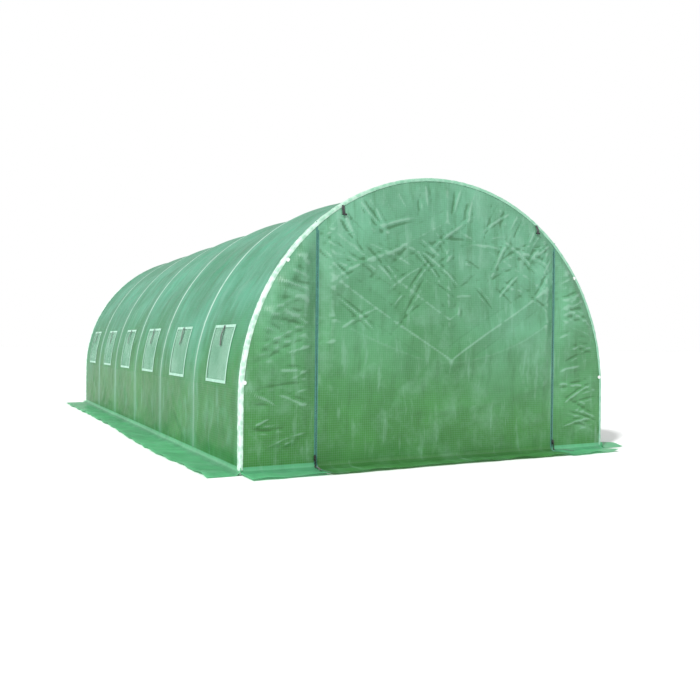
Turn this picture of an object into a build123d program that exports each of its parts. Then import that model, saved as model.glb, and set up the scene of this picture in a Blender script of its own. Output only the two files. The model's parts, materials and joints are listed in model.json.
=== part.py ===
"""Walk-in polytunnel greenhouse: steel hoops, woven film cover, roll-up door."""

import os
from math import cos, degrees, radians, sin

from build123d import *

# ---- driving dimensions, millimetres and degrees ----
LENGTH = 6000.0            # over both end hems
WIDTH = 3000.0             # over the seam hems
LEG = 460.0                # straight part of each wall, below the arch
ARCH = WIDTH / 2           # outer radius of the arch, hem included
HOOPS = 7
BAYS = HOOPS - 1

HEM_THICK = 1.5
FILM_THICK = 2.0
TUBE_GAP = 2.5             # air between the cover and the hoops
TUBE_R = 12.5
TUBE_WALL = 1.0
ARCH_TUBES = 5             # bent tubes in the arch of each hoop
SPIGOT_LENGTH = 90.0
SPIGOT_WALL = 1.2
PURLIN_ANGLE = 45.0
PURLIN_ANGLES = (PURLIN_ANGLE, 90.0, 180 - PURLIN_ANGLE)
PURLIN_PAST = 60.0         # how far past a hoop two purlin tubes meet

TEE_R = 15.0
TEE_ARM = 40.0
FOOT_DEPTH = 14.0          # how deep a tube sits in a tee, past its middle
BOLT_R = 3.0

SKIRT_WIDTH = 270.0
SKIRT_THICK = 2.0
HEM_WIDTH = 40.0
ROOF_PANELS = 4            # sewn widths on each side of the ridge

WINDOW_WIDTH = 390.0
WINDOW_LOW = 3.9           # angles on the arch: sill and head of each window
WINDOW_HIGH = 17.4
BAND_LOW = 2.2
BAND_HIGH = 19.2
WINDOW_TAPE = 26.0
TAPE_THICK = 1.5
STRAP_WIDTH = 20.0
STRAP_DROP = 140.0

FLAP_RADIUS = 1488.0
FLAP_MARGIN = 20.0         # how far a flap laps past its window, each side

STRIP_LENGTHS = (390.0, 338.0, 330.0, 256.0, 210.0)    # door strips, top to foot
DOOR_FOOT = 6.0
DOOR_HALF = 986.0
ZIP_LINE = 990.0
ZIP_TAPE = 16.0
DOOR_SKIRT = 200.0
STRIP_GAP = 1.0

SLIDER_HEIGHT = 30.0
SLIDER_START = 60.0

COVER_R = ARCH - HEM_THICK
INNER_R = COVER_R - FILM_THICK
HOOP_R = INNER_R - TUBE_GAP - TUBE_R
END_Y = LENGTH / 2
END_INNER = END_Y - FILM_THICK
HOOP_END = END_INNER - TUBE_GAP - TUBE_R
BAY = 2 * HOOP_END / BAYS
PURLIN_R = HOOP_R - 2 * TUBE_R - 0.5
DOOR_STRIPS = len(STRIP_LENGTHS)
JOINT_ANGLES = [180 / ARCH_TUBES * k for k in range(ARCH_TUBES + 1)]
HINGE_Z = DOOR_FOOT + sum(STRIP_LENGTHS)

SIDES = {"left": -1, "right": 1}


def bar(start, end, radius):
    """Round bar from one point to another."""
    start, end = Vector(*start), Vector(*end)
    run = end - start
    return Solid.make_cylinder(radius, run.length, Plane(origin=start, z_dir=run))


def tube(start, end, radius=TUBE_R, wall=TUBE_WALL):
    """Round hollow tube from one point to another."""
    return bar(start, end, radius) - bar(start, end, radius - wall)


def arch_point(radius, angle, y):
    """Point on the arch; angle 0 is the right springing, 90 the ridge."""
    turn = radians(angle)
    return (radius * cos(turn), y, LEG + radius * sin(turn))


def bent_tube(start, end, y, radius=TUBE_R, wall=TUBE_WALL):
    """Hollow tube bent along the hoop line from one arch angle to another."""
    ring = Circle(radius) - Circle(radius - wall)
    section = Plane(origin=(HOOP_R, 0, 0), z_dir=(0, 0, 1)) * ring
    turning = Axis((0, 0, 0), (0, -1, 0))
    bent = revolve(section, turning, end - start)
    return Pos(0, y, LEG) * bent.rotate(turning, start)


def film_arc(low_r, high_r, start, end, y_low, y_high):
    """Curved film panel between two arch angles, along the tunnel."""
    outer = CenterArc((0, LEG), high_r, start, end - start)
    inner = CenterArc((0, LEG), low_r, start, end - start)
    rim = [outer, Line(outer @ 1, inner @ 1), inner, Line(inner @ 0, outer @ 0)]
    profile = Plane.XZ.offset(-y_high) * make_face(rim)
    return extrude(profile, y_high - y_low)


def block(x_low, x_high, y_low, y_high, z_low, z_high):
    """Box between two corners."""
    size = (x_high - x_low, y_high - y_low, z_high - z_low)
    middle = ((x_low + x_high) / 2, (y_low + y_high) / 2, (z_low + z_high) / 2)
    return Pos(*middle) * Box(*size)


def side_block(side, near, far, y_low, y_high, z_low, z_high):
    """Box on one side of the tunnel, given by its distances from the middle."""
    x_low, x_high = sorted((side * near, side * far))
    return block(x_low, x_high, y_low, y_high, z_low, z_high)


def on_side(side, panel):
    """Keep a panel made on the right, or mirror it to the left."""
    return panel if side > 0 else mirror(panel, about=Plane.YZ)


def hoop_y(index):
    return -HOOP_END + BAY * index


def bay_middle(index):
    return hoop_y(index) + BAY / 2


# ---- frame ----
def bolt_hole(angle, y):
    """Drill that clears a bolt through a hoop and its purlin."""
    low = arch_point(PURLIN_R - 2 * TUBE_R, angle, y)
    return bar(low, arch_point(ARCH, angle, y), BOLT_R + 0.2)


def bolt_holes(angle, piece):
    """All the drills that cross one purlin tube."""
    box = piece.bounding_box()
    places = [hoop_y(index) for index in range(HOOPS)]
    drills = [bolt_hole(angle, y) for y in places if box.min.Y < y < box.max.Y]
    joined = drills[0]
    for drill in drills[1:]:
        joined = joined + drill
    return joined


def hoop(index):
    """Two legs and the bent tubes of the arch."""
    y = hoop_y(index)
    pieces = []
    for side in SIDES.values():
        foot = (side * HOOP_R, y, TEE_R + FOOT_DEPTH)
        pieces.append(tube(foot, (side * HOOP_R, y, LEG)))
    for start, end in zip(JOINT_ANGLES, JOINT_ANGLES[1:]):
        bent = bent_tube(start, end, y)
        for angle in PURLIN_ANGLES:
            if start < angle < end:
                bent -= bolt_hole(angle, y)
        pieces.append(bent)
    return pieces


def tube_spigots():
    """Inner sleeves that join the tubes of every hoop."""
    spigot_r = TUBE_R - TUBE_WALL - 0.05
    half = SPIGOT_LENGTH / 2
    half_turn = degrees(half / HOOP_R)
    pieces = []
    for index in range(HOOPS):
        y = hoop_y(index)
        for side in SIDES.values():
            low = (side * HOOP_R, y, LEG - SPIGOT_LENGTH)
            high = (side * HOOP_R, y, LEG - 2)
            pieces.append(tube(low, high, spigot_r, SPIGOT_WALL))
        for angle in JOINT_ANGLES[1:-1]:
            low, high = angle - half_turn, angle + half_turn
            pieces.append(bent_tube(low, high, y, spigot_r, SPIGOT_WALL))
    return pieces


def purlin(angle):
    """One line of tubes under the hoops, butted a little past each hoop."""
    joints = [hoop_y(index) + PURLIN_PAST for index in range(1, HOOPS - 1)]
    ends = [-HOOP_END - TUBE_R, *joints, HOOP_END + TUBE_R]
    pieces = []
    for start, end in zip(ends, ends[1:]):
        pieces.append(tube(arch_point(PURLIN_R, angle, start), arch_point(PURLIN_R, angle, end)))
    return [piece - bolt_holes(angle, piece) for piece in pieces]


def purlin_crossings():
    """Places where a purlin passes under a hoop."""
    return [(index, angle) for index in range(HOOPS) for angle in PURLIN_ANGLES]


def coach_bolts():
    """Radial bolts through a hoop and the purlin under it."""
    pieces = []
    head_r = HOOP_R + TUBE_R
    for index, angle in purlin_crossings():
        y = hoop_y(index)
        low = arch_point(PURLIN_R - TUBE_R - 12, angle, y)
        high = arch_point(head_r, angle, y)
        head = bar(high, arch_point(head_r + 1.8, angle, y), 7.0)
        pieces.append(bar(low, high, BOLT_R) + head)
    return pieces


def wing_nuts():
    """Nut with two ears on the inner end of each bolt."""
    pieces = []
    top = PURLIN_R - TUBE_R - 0.3
    for index, angle in purlin_crossings():
        y = hoop_y(index)
        low, high = arch_point(top - 7, angle, y), arch_point(top, angle, y)
        hub = bar(low, high, 6.5)
        ears = Plane(origin=low, z_dir=Vector(*high) - Vector(*low))
        wing = ears * Pos(0, 0, 3) * Box(30, 2.4, 6)
        pieces.append(hub + wing - bolt_hole(angle, y))
    return pieces


def base_rail(side):
    """Ground tubes between the feet of the hoops, along one side."""
    x = side * HOOP_R
    inset = FOOT_DEPTH
    runs = [(hoop_y(bay) + inset, hoop_y(bay + 1) - inset) for bay in range(BAYS)]
    return [tube((x, low, TEE_R), (x, high, TEE_R)) for low, high in runs]


def end_sills():
    """Ground tubes across both ends."""
    reach = HOOP_R - FOOT_DEPTH
    return [tube((-reach, y, TEE_R), (reach, y, TEE_R)) for y in (-HOOP_END, HOOP_END)]


def base_tee(side, index):
    """Moulded joint that takes a leg and the ground tubes beside it."""
    x, y = side * HOOP_R, hoop_y(index)
    middle = (x, y, TEE_R)
    last = HOOPS - 1
    arms = [(x, y, TEE_R + TEE_ARM)]
    if index > 0:
        arms.append((x, y - TEE_ARM, TEE_R))
    if index < last:
        arms.append((x, y + TEE_ARM, TEE_R))
    if index in (0, last):
        arms.append((x - side * TEE_ARM, y, TEE_R))
    body = Pos(*middle) * Sphere(TEE_R)
    for arm in arms:
        body += bar(middle, arm, TEE_R)
    for arm in arms:
        run = (Vector(*arm) - Vector(*middle)).normalized()
        seat = Vector(*middle) + run * FOOT_DEPTH
        body -= bar(tuple(seat), tuple(Vector(*arm) + run), TUBE_R + 0.05)
    return body


def base_tees():
    return [base_tee(side, index) for side in SIDES.values() for index in range(HOOPS)]


# ---- cover ----
def roof(side):
    """Roof film from the window band to the ridge, in sewn widths."""
    width = (90 - BAND_HIGH) / ROOF_PANELS
    edges = [BAND_HIGH + width * k for k in range(ROOF_PANELS + 1)]
    panels = [film_arc(INNER_R, COVER_R, low, high, -END_INNER, END_INNER)
              for low, high in zip(edges, edges[1:])]
    return [on_side(side, panel) for panel in panels]


def window_cut(bay, grow=0.0, low_r=INNER_R - 5, high_r=ARCH + 5):
    """Curved block that fills a window, larger by grow on every edge."""
    half = WINDOW_WIDTH / 2 + grow
    turn = degrees(grow / COVER_R)
    middle = bay_middle(bay)
    return film_arc(low_r, high_r, WINDOW_LOW - turn, WINDOW_HIGH + turn,
                    middle - half, middle + half)


def window_band(side):
    """Film with one window opening in each bay."""
    band = film_arc(INNER_R, COVER_R, BAND_LOW, BAND_HIGH, -END_INNER, END_INNER)
    for bay in range(BAYS):
        band -= window_cut(bay)
    return [on_side(side, band)]


def window_nets(side):
    """Insect net that closes each window opening."""
    middle_r = (INNER_R + COVER_R) / 2
    nets = [window_cut(bay, -0.2, middle_r - 0.5, middle_r + 0.5) for bay in range(BAYS)]
    return [on_side(side, net) for net in nets]


def window_tapes():
    """White binding sewn round every window, on the outside."""
    pieces = []
    for side in SIDES.values():
        for bay in range(BAYS):
            frame = window_cut(bay, WINDOW_TAPE, COVER_R, COVER_R + TAPE_THICK)
            pieces.append(on_side(side, frame - window_cut(bay)))
    return pieces


def window_straps(side):
    """Webbing strap hanging over the middle of each window."""
    top_turn = WINDOW_HIGH + 0.8
    low_turn = top_turn - degrees(STRAP_DROP / COVER_R)
    low_r = COVER_R + TAPE_THICK + 0.3
    pieces = []
    for bay in range(BAYS):
        middle = bay_middle(bay)
        low_y, high_y = middle - STRAP_WIDTH / 2, middle + STRAP_WIDTH / 2
        strap = film_arc(low_r, low_r + 1.5, low_turn, top_turn, low_y, high_y)
        pieces.append(on_side(side, strap))
    return pieces


def lower_wall(side):
    """Film below the window band, down to the ground."""
    curve = film_arc(INNER_R, COVER_R, 0, BAND_LOW, -END_INNER, END_INNER)
    flat = block(INNER_R, COVER_R, -END_INNER, END_INNER, SKIRT_THICK, LEG)
    return [on_side(side, curve + flat)]


def side_skirt(side):
    """Film that lies on the ground along one side, to be buried or weighted."""
    return [side_block(side, INNER_R, COVER_R + SKIRT_WIDTH, -END_INNER, END_INNER,
                       0, SKIRT_THICK)]


def end_plate(facing):
    """Whole end wall: an arch-shaped plate of film."""
    arc = CenterArc((0, LEG), COVER_R, 0, 180)
    low_right, low_left = (COVER_R, SKIRT_THICK), (-COVER_R, SKIRT_THICK)
    rim = [arc, Line(arc @ 1, low_left), Line(low_left, low_right), Line(low_right, arc @ 0)]
    outline = make_face(rim)
    high_y = END_Y if facing > 0 else -END_INNER
    return extrude(Plane.XZ.offset(-high_y) * outline, FILM_THICK)


def end_skirt(facing, x_low, x_high):
    """Film on the ground in front of an end wall."""
    y_low, y_high = sorted((facing * END_INNER, facing * (END_Y + SKIRT_WIDTH)))
    return block(x_low, x_high, y_low, y_high, 0, SKIRT_THICK)


def front_wall(side):
    """Fixed film beside the door, with its piece of ground skirt."""
    keep = side_block(side, ZIP_LINE, WIDTH, -END_Y - 5, -END_INNER + 5, 0, HINGE_Z)
    x_low, x_high = sorted((side * ZIP_LINE, side * COVER_R))
    return [end_plate(-1) & keep, end_skirt(-1, x_low, x_high)]


def front_lunette():
    """Fixed film above the door."""
    keep = block(-WIDTH, WIDTH, -END_Y - 5, -END_INNER + 5, HINGE_Z, LEG + ARCH + 5)
    return [end_plate(-1) & keep]


def rear_wall():
    """Plain end wall with its ground skirt."""
    return [end_plate(1), end_skirt(1, -COVER_R, COVER_R)]


def end_hem(facing):
    """Doubled edge of the cover, over an end hoop."""
    y_low, y_high = sorted((facing * END_Y, facing * (END_Y - HEM_WIDTH)))
    arch = film_arc(COVER_R, ARCH, 0, 180, y_low, y_high)
    legs = [side_block(side, COVER_R, ARCH, y_low, y_high, SKIRT_THICK, LEG)
            for side in SIDES.values()]
    return [arch + legs[0] + legs[1]]


# ---- door ----
def strip_top(index):
    return HINGE_Z - sum(STRIP_LENGTHS[:index])


def door_strip(index):
    """One strip of the door curtain with its half of each zip tape."""
    high = strip_top(index) - STRIP_GAP / 2
    low = strip_top(index + 1) + STRIP_GAP / 2
    pieces = [block(-DOOR_HALF, DOOR_HALF, -END_Y, -END_INNER, low, high)]
    for side in SIDES.values():
        pieces.append(side_block(side, DOOR_HALF - ZIP_TAPE, DOOR_HALF,
                                 -END_Y - TAPE_THICK, -END_Y, low, high))
    if index == DOOR_STRIPS - 1:
        flap = block(-DOOR_HALF, DOOR_HALF, -END_Y - DOOR_SKIRT, -END_INNER, 4.5, 6.5)
        pieces.append(flap)
    return pieces


def zip_tapes():
    """The fixed half of each zip, on the film beside the door."""
    return [side_block(side, ZIP_LINE, ZIP_LINE + ZIP_TAPE, -END_Y - TAPE_THICK, -END_Y,
                       10, HINGE_Z) for side in SIDES.values()]


def zip_slider(side):
    """Zip slider with its pull tab hanging from it."""
    back = -END_Y - TAPE_THICK - 0.3
    low, high = SLIDER_START, SLIDER_START + SLIDER_HEIGHT
    near = ZIP_LINE + 1.0
    body = side_block(side, near, near + 13, back - 7, back, low, high)
    nose = bar((side * (near + 6.5), back - 3.5, high - 4),
               (side * (near + 6.5), back - 3.5, high + 6), 3.4)
    tab = side_block(side, near + 3, near + 10, back - 10.5, back - 8.5, low - 42, low + 14)
    pin = bar((side * (near + 6.5), back - 9.5, low + 8),
              (side * (near + 6.5), back - 6.5, low + 8), 1.6)
    return [body + nose + pin, tab - pin]


def door_ties():
    """Webbing loop and toggle that hold the rolled door, on each side."""
    pieces = []
    for side in SIDES.values():
        x, z = side * 810.0, 1700.0
        webbing = side_block(side, 802, 818, -END_Y - 3.3, -END_Y - 0.3, z - 60, z)
        pieces.append(webbing)
        pieces.append(bar((x - 14, -END_Y - 9, z - 64), (x + 14, -END_Y - 9, z - 64), 5.0))
    return pieces


def hem_clips():
    """Moulded snap clips that hold the end walls to the end hoops."""
    pieces = []
    for facing in (-1, 1):
        for angle in (4, 36, 144, 176):
            x, _, z = arch_point(COVER_R - 22, angle, 0)
            near, far = facing * (END_Y + 0.3), facing * (END_Y + 6.3)
            pieces.append(bar((x, near, z), (x, far, z), 13.0))
    return pieces


# ---- window flaps ----
def window_flap(side, bay):
    """Film flap that closes a window from the inside, hung from its head."""
    grow = FLAP_MARGIN
    flap = window_cut(bay, grow, FLAP_RADIUS - FILM_THICK, FLAP_RADIUS)
    return [on_side(side, flap)]


def save(name, pieces):
    shape = Compound(children=list(pieces)) if len(pieces) > 1 else pieces[0]
    export_step(shape, f"parts/{name}.step")


def solids_of(shapes):
    """Every closed solid in a list of shapes, flattened."""
    return [solid for shape in shapes for solid in shape.solids()]


def nodes():
    """Each named sub-part and its solids."""
    made = {f"hoop_{index + 1}": hoop(index) for index in range(HOOPS)}
    made["tube_spigots"] = tube_spigots()
    made["ridge_purlin"] = purlin(90.0)
    made["side_purlin_right"] = purlin(PURLIN_ANGLE)
    made["side_purlin_left"] = purlin(180 - PURLIN_ANGLE)
    made["coach_bolts"] = coach_bolts()
    made["wing_nuts"] = wing_nuts()
    made["end_sills"] = end_sills()
    made["base_tees"] = base_tees()
    for word, side in SIDES.items():
        made[f"base_rail_{word}"] = base_rail(side)
        made[f"roof_{word}"] = roof(side)
        made[f"window_band_{word}"] = window_band(side)
        made[f"window_nets_{word}"] = window_nets(side)
        made[f"window_straps_{word}"] = window_straps(side)
        made[f"lower_wall_{word}"] = lower_wall(side)
        made[f"skirt_{word}"] = side_skirt(side)
        made[f"front_wall_{word}"] = front_wall(side)
        made[f"zip_slider_{word}"] = zip_slider(side)
        for bay in range(BAYS):
            made[f"window_flap_{word}_{bay + 1}"] = window_flap(side, bay)
    made["window_tapes"] = window_tapes()
    made["front_lunette"] = front_lunette()
    made["rear_wall"] = rear_wall()
    made["end_hem_front"] = end_hem(-1)
    made["end_hem_rear"] = end_hem(1)
    made["zip_tapes"] = zip_tapes()
    made["door_ties"] = door_ties()
    made["hem_clips"] = hem_clips()
    for index in range(DOOR_STRIPS):
        made[f"door_strip_{index + 1}"] = door_strip(index)
    return made


os.makedirs("parts", exist_ok=True)
for node_name, node_shapes in nodes().items():
    save(node_name, solids_of(node_shapes))
print("hinge line at", HINGE_Z, "mm; bay", round(BAY, 2), "mm")
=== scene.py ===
# %% [markdown]
# # A walk-in polytunnel in woven film
# The steel frame of this tunnel comes from its CAD model and stays as it is.
# Here the film that is pulled over the frame gets its sags, creases, windows
# and zips, and every surface gets a finish. The frame is loaded first, because
# each sheet takes its size and place from it.

# %% Load the frame
import json
import math

import bpy
import numpy as np
from mathutils import Matrix, Vector

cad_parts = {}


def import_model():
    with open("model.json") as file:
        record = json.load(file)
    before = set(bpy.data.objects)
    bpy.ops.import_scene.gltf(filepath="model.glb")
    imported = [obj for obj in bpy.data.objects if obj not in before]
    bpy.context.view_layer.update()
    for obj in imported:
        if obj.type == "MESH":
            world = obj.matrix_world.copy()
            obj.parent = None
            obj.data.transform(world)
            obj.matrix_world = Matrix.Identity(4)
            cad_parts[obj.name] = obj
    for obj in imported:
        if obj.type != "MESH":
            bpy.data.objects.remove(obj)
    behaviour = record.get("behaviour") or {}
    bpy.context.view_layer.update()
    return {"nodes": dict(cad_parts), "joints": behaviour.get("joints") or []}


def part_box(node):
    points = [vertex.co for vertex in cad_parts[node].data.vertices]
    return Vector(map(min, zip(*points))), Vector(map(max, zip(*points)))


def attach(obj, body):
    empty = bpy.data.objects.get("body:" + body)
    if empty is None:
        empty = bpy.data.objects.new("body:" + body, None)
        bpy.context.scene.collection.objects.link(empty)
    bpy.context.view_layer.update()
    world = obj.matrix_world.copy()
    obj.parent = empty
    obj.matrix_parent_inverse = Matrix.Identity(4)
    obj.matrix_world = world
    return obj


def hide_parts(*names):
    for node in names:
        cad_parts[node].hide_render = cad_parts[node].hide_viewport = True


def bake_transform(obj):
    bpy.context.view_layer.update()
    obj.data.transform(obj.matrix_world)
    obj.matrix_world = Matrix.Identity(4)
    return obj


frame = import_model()

# %% [markdown]
# ## Sizes, read from the frame
# A cover has to touch its hoops, so its radius comes from the hoops, and each
# bay lies between two of them. The film rides 2 mm outside the tubes.

# %% Sizes
HOOPS = sum(1 for name in frame["nodes"] if name.startswith("hoop_"))
HOOP_PLACES = [sum(corner.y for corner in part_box(f"hoop_{index + 1}")) / 2
               for index in range(HOOPS)]
BAY = HOOP_PLACES[1] - HOOP_PLACES[0]
HOOP_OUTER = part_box("hoop_1")[1].x
LEG = 0.46
FILM_R = HOOP_OUTER + 0.002
END = -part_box("end_hem_front")[0].y
FRONT = -END + 0.0015
HALF_GIRTH = LEG + FILM_R * math.pi / 2
SKIRT_REACH = 0.27
SIDES = {"left": -1, "right": 1}
print("hoops", HOOPS, "bay", round(BAY, 4), "half girth", round(HALF_GIRTH, 3))

# %% [markdown]
# ## Noise for creased film
# Woven film does not drape like cloth. It folds into flat facets with sharp
# edges between them. Folded noise gives that: smooth noise is mirrored where it
# crosses zero, which leaves a crease there. Each seed is fixed, so the same
# creases come every time.

# %% Noise
def swell(x, y, seed):
    """Smooth noise from -1 to 1, about one swell for each unit."""
    table = np.random.RandomState(seed).uniform(-1, 1, (128, 128))
    low_x, low_y = np.floor(x).astype(int), np.floor(y).astype(int)
    part_x, part_y = x - low_x, y - low_y
    part_x = part_x * part_x * (3 - 2 * part_x)
    part_y = part_y * part_y * (3 - 2 * part_y)
    corner = [[table[(low_x + i) % 128, (low_y + j) % 128] for j in (0, 1)] for i in (0, 1)]
    low = corner[0][0] * (1 - part_y) + corner[0][1] * part_y
    high = corner[1][0] * (1 - part_y) + corner[1][1] * part_y
    return low * (1 - part_x) + high * part_x


def crease(x, y, seed, layers=3):
    """Creased noise: flat facets between sharp folds, about -1 to 1."""
    total = 0.0
    for layer in range(layers):
        grow = 1.9 ** layer
        turned = x * 0.8 + y * 0.6, y * 0.8 - x * 0.6
        bump = 1 - 2.6 * np.abs(swell(turned[0] * grow, turned[1] * grow, seed + layer))
        total = total + bump * 0.55 ** layer
    return total / 1.6


def pleat(x):
    """Zigzag from -1 to 1 with a period of 1: a sharp fold at every turn."""
    return 4 * np.abs(x - np.floor(x + 0.5)) - 1


def ease(x):
    """0 below 0, 1 above 1, smooth between."""
    held = np.clip(x, 0, 1)
    return held * held * (3 - 2 * held)


# %% [markdown]
# ## Sheets from a grid
# A sheet is a grid of points with a UV map in metres, so that a weave keeps its
# scale on it. Quads can be left out for an opening. Neighbouring sheets are cut
# from one surface, so their edges meet, and normals worked out on that surface
# keep the shading smooth across the cut. Each point also stores how sharply the
# sheet folds there, because the finish paints a highlight on an outward fold and
# painted shade in a valley.

# %% Make a sheet
SHARP_FOLD = 17.0


def normals_of(points):
    """Unit normal at each point of a grid."""
    along = np.gradient(points, axis=1)
    across = np.gradient(points, axis=0)
    turned = np.cross(along, across)
    return turned / np.maximum(np.linalg.norm(turned, axis=2, keepdims=True), 1e-12)


def crests_of(points, normals):
    """How sharply a grid folds outward at each point, from -1 in a valley to 1."""
    bend = np.zeros(points.shape[:2])
    for axis in (0, 1):
        slope = np.gradient(points, axis=axis)
        step = np.maximum(np.linalg.norm(slope, axis=2, keepdims=True), 1e-6)
        bend -= (np.gradient(slope / step, axis=axis) * normals).sum(-1)
    bend[[0, -1]] = 0
    bend[:, [0, -1]] = 0
    return np.clip(bend / (SHARP_FOLD * step[..., 0]), -1, 1)


def add_piece(name, mesh):
    """Object of this name for a mesh, linked to the scene."""
    piece = bpy.data.objects.new(name, mesh)
    bpy.context.scene.collection.objects.link(piece)
    return piece


def make_sheet(name, points, uv, outward, keep=None):
    """Mesh object from a grid of points. outward is a direction the sheet faces."""
    rows, columns, _ = points.shape
    number = np.arange(rows * columns).reshape(rows, columns)
    quads = np.stack([number[:-1, :-1], number[:-1, 1:], number[1:, 1:], number[1:, :-1]], -1)
    quads = quads[keep] if keep is not None else quads.reshape(-1, 4)
    normals = normals_of(points)
    if np.mean((normals * outward).sum(-1)) < 0:
        normals = -normals
        quads = quads[:, ::-1]
    used, faces = np.unique(quads, return_inverse=True)
    faces = faces.reshape(-1, 4)
    mesh = bpy.data.meshes.new(name)
    mesh.from_pydata(points.reshape(-1, 3)[used].tolist(), [], faces.tolist())
    layer = mesh.uv_layers.new(name="UVMap")
    layer.data.foreach_set("uv", uv.reshape(-1, 2)[used][faces.ravel()].ravel())
    mesh.polygons.foreach_set("use_smooth", [True] * len(mesh.polygons))
    mesh.normals_split_custom_set_from_vertices(normals.reshape(-1, 3)[used].tolist())
    # The crest values feed painted highlights on outward folds and painted shade in valleys.
    crests = mesh.attributes.new("crest", "FLOAT", "POINT")
    crests.data.foreach_set("value", crests_of(points, normals).reshape(-1)[used])
    return add_piece(name, mesh)


def spread(places, step):
    """Numbers from the first place to the last, through each one, at most a step apart."""
    line = [places[0]]
    for low, high in zip(places, places[1:]):
        count = max(1, math.ceil((high - low) / step - 1e-6))
        line += list(np.linspace(low, high, count + 1)[1:])
    return np.array(line)


def settle(piece, body, finish, width, length, over=()):
    """Give a sheet its body and finish, and hide the nodes it stands for; its flat size, width and
    length, is not used.
    """
    if body:
        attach(piece, body)
    piece.data.materials.append(finish)
    if over:
        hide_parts(*over)
    print(piece.name, len(piece.data.polygons), "quads")
    return piece


# %% [markdown]
# ## The shape of the cover
# A point on the cover is named by y, along the tunnel, and t, the girth from the
# ridge: negative on the left, positive on the right. The film touches each hoop
# and hangs a little inside between them, deeper on the roof than at the windows.
# On top of that come soft crumples, fine pulls beside each hoop, long diagonal
# folds low on the walls, and the raised seams of the window band. It rests on the
# purlins where it hangs lowest, and its foot is held straight by the base rails.

# %% Cover surface
SEAM_LOW = LEG + FILM_R * math.radians(2.2)
SEAM_HIGH = LEG + FILM_R * math.radians(19.2)
WINDOW_SILL = LEG + FILM_R * math.radians(3.9)
WINDOW_HEAD = LEG + FILM_R * math.radians(17.4)
WINDOW_HALF = 0.195
WALL_FOOT = 0.045
PURLIN_DEPTH = 0.0245
ROOF_SAG = 0.022
WALL_SAG = 0.003
SEAM_RISE = 0.0016


def arch(height):
    """Place (x, z) and outward direction at a girth height above the ground, right side."""
    turn = np.maximum(height - LEG, 0) / FILM_R
    x = FILM_R * np.cos(turn)
    z = np.where(height < LEG, height, LEG + FILM_R * np.sin(turn))
    return x, z, np.cos(turn), np.sin(turn)


def cover_relief(y, t):
    """How far the film stands out from the line of the hoops, in metres."""
    height = HALF_GIRTH - np.abs(t)
    bay = (y - HOOP_PLACES[0]) / BAY
    part = bay - np.floor(bay)
    loose = 4 * part * (1 - part)
    roof = ease((height - SEAM_HIGH + 0.02) / 0.5)
    band = ease((height - 0.35) / 0.2) * (1 - ease((height - SEAM_HIGH) / 0.25))
    low = 1 - ease((height - 0.1) / 0.45)
    sag = -loose * (WALL_SAG + (ROOF_SAG - WALL_SAG) * roof)
    crumple = crease(y * 2.1, t * 2.6, 11) * (0.003 + 0.008 * roof + 0.012 * low) * loose
    pulls = crease(y * 3.4, t * 15, 23, 2) * 0.0042 * np.exp(-7 * np.minimum(part, 1 - part))
    pulls = pulls * ease(6 * np.minimum(part, 1 - part))
    folds = pleat((y + 1.1 * height) / 0.62 + 0.3 * swell(y, t, 5)) * 0.008 * low * loose
    creased = (pleat(y / 0.331) + pleat(t / 0.47)) * 0.0026 * roof * loose
    rise = 0.0
    for seam in (SEAM_LOW, SEAM_HIGH):
        rise = rise + SEAM_RISE * np.exp(-((height - seam) / 0.009) ** 2)
    calm = 1 - 0.75 * band
    loosely = sag + (crumple + folds + creased) * calm + pulls * calm * (loose > 0)
    held = ease((height - WALL_FOOT) / 0.12)
    return np.maximum(loosely, -PURLIN_DEPTH) * held + rise


def cover_points(y, t, lift=0.0):
    """Grid of points on the cover, lifted off it by a distance."""
    t_grid, y_grid = np.meshgrid(t, y, indexing="ij")
    x, z, out_x, out_z = arch(HALF_GIRTH - np.abs(t_grid))
    side = np.sign(t_grid) + (t_grid == 0)
    rise = cover_relief(y_grid, t_grid) + lift
    points = np.stack([side * (x + rise * out_x), y_grid, z + rise * out_z], -1)
    uv = np.stack([y_grid, t_grid], -1)
    outward = np.stack([side * out_x, np.zeros_like(x), out_z], -1)
    return points, uv, outward


def bay_middle(bay):
    return HOOP_PLACES[bay] + BAY / 2


window_edges = [bay_middle(bay) + edge for bay in range(HOOPS - 1)
                for edge in (-WINDOW_HALF, WINDOW_HALF)]
cover_lines = spread(sorted([FRONT, -FRONT, *HOOP_PLACES, *window_edges]), 0.024)
print("cover lines along the tunnel", len(cover_lines))

# %% [markdown]
# ## Finishes by sums
# A finish is a tree of nodes. Most of it is arithmetic, so a small class wraps a
# socket and lets sums be written as sums. Every other node comes from one
# method, which takes the kind of node, its settings and what feeds it.

# %% Node helpers
class Wire:
    """A socket that can be used in sums."""

    def __init__(self, finish, socket):
        self.finish, self.socket = finish, socket

    def maths(self, operation, first, second=0.0):
        return self.finish.node("ShaderNodeMath", {"operation": operation},
                                {0: first, 1: second})

    def __add__(self, other):
        return self.maths("ADD", self, other)

    def __sub__(self, other):
        return self.maths("SUBTRACT", self, other)

    def __rsub__(self, other):
        return self.maths("SUBTRACT", other, self)

    def __mul__(self, other):
        return self.maths("MULTIPLY", self, other)

    def __truediv__(self, other):
        return self.maths("DIVIDE", self, other)

    def __gt__(self, other):
        return self.maths("GREATER_THAN", self, other)

    def __lt__(self, other):
        return self.maths("LESS_THAN", self, other)

    def __abs__(self):
        return self.maths("ABSOLUTE", self)

    __radd__, __rmul__ = __add__, __mul__

    def wave(self, length):
        """Cosine ripple from 0 to 1 with this period."""
        return self.maths("COSINE", self * (2 * math.pi / length)) * 0.5 + 0.5

    def soft_step(self, low, high):
        """0 below low, 1 above high, smooth between."""
        return self.finish.node("ShaderNodeMapRange", {"interpolation_type": "SMOOTHSTEP"},
                                {0: self, 1: low, 2: high})


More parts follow.
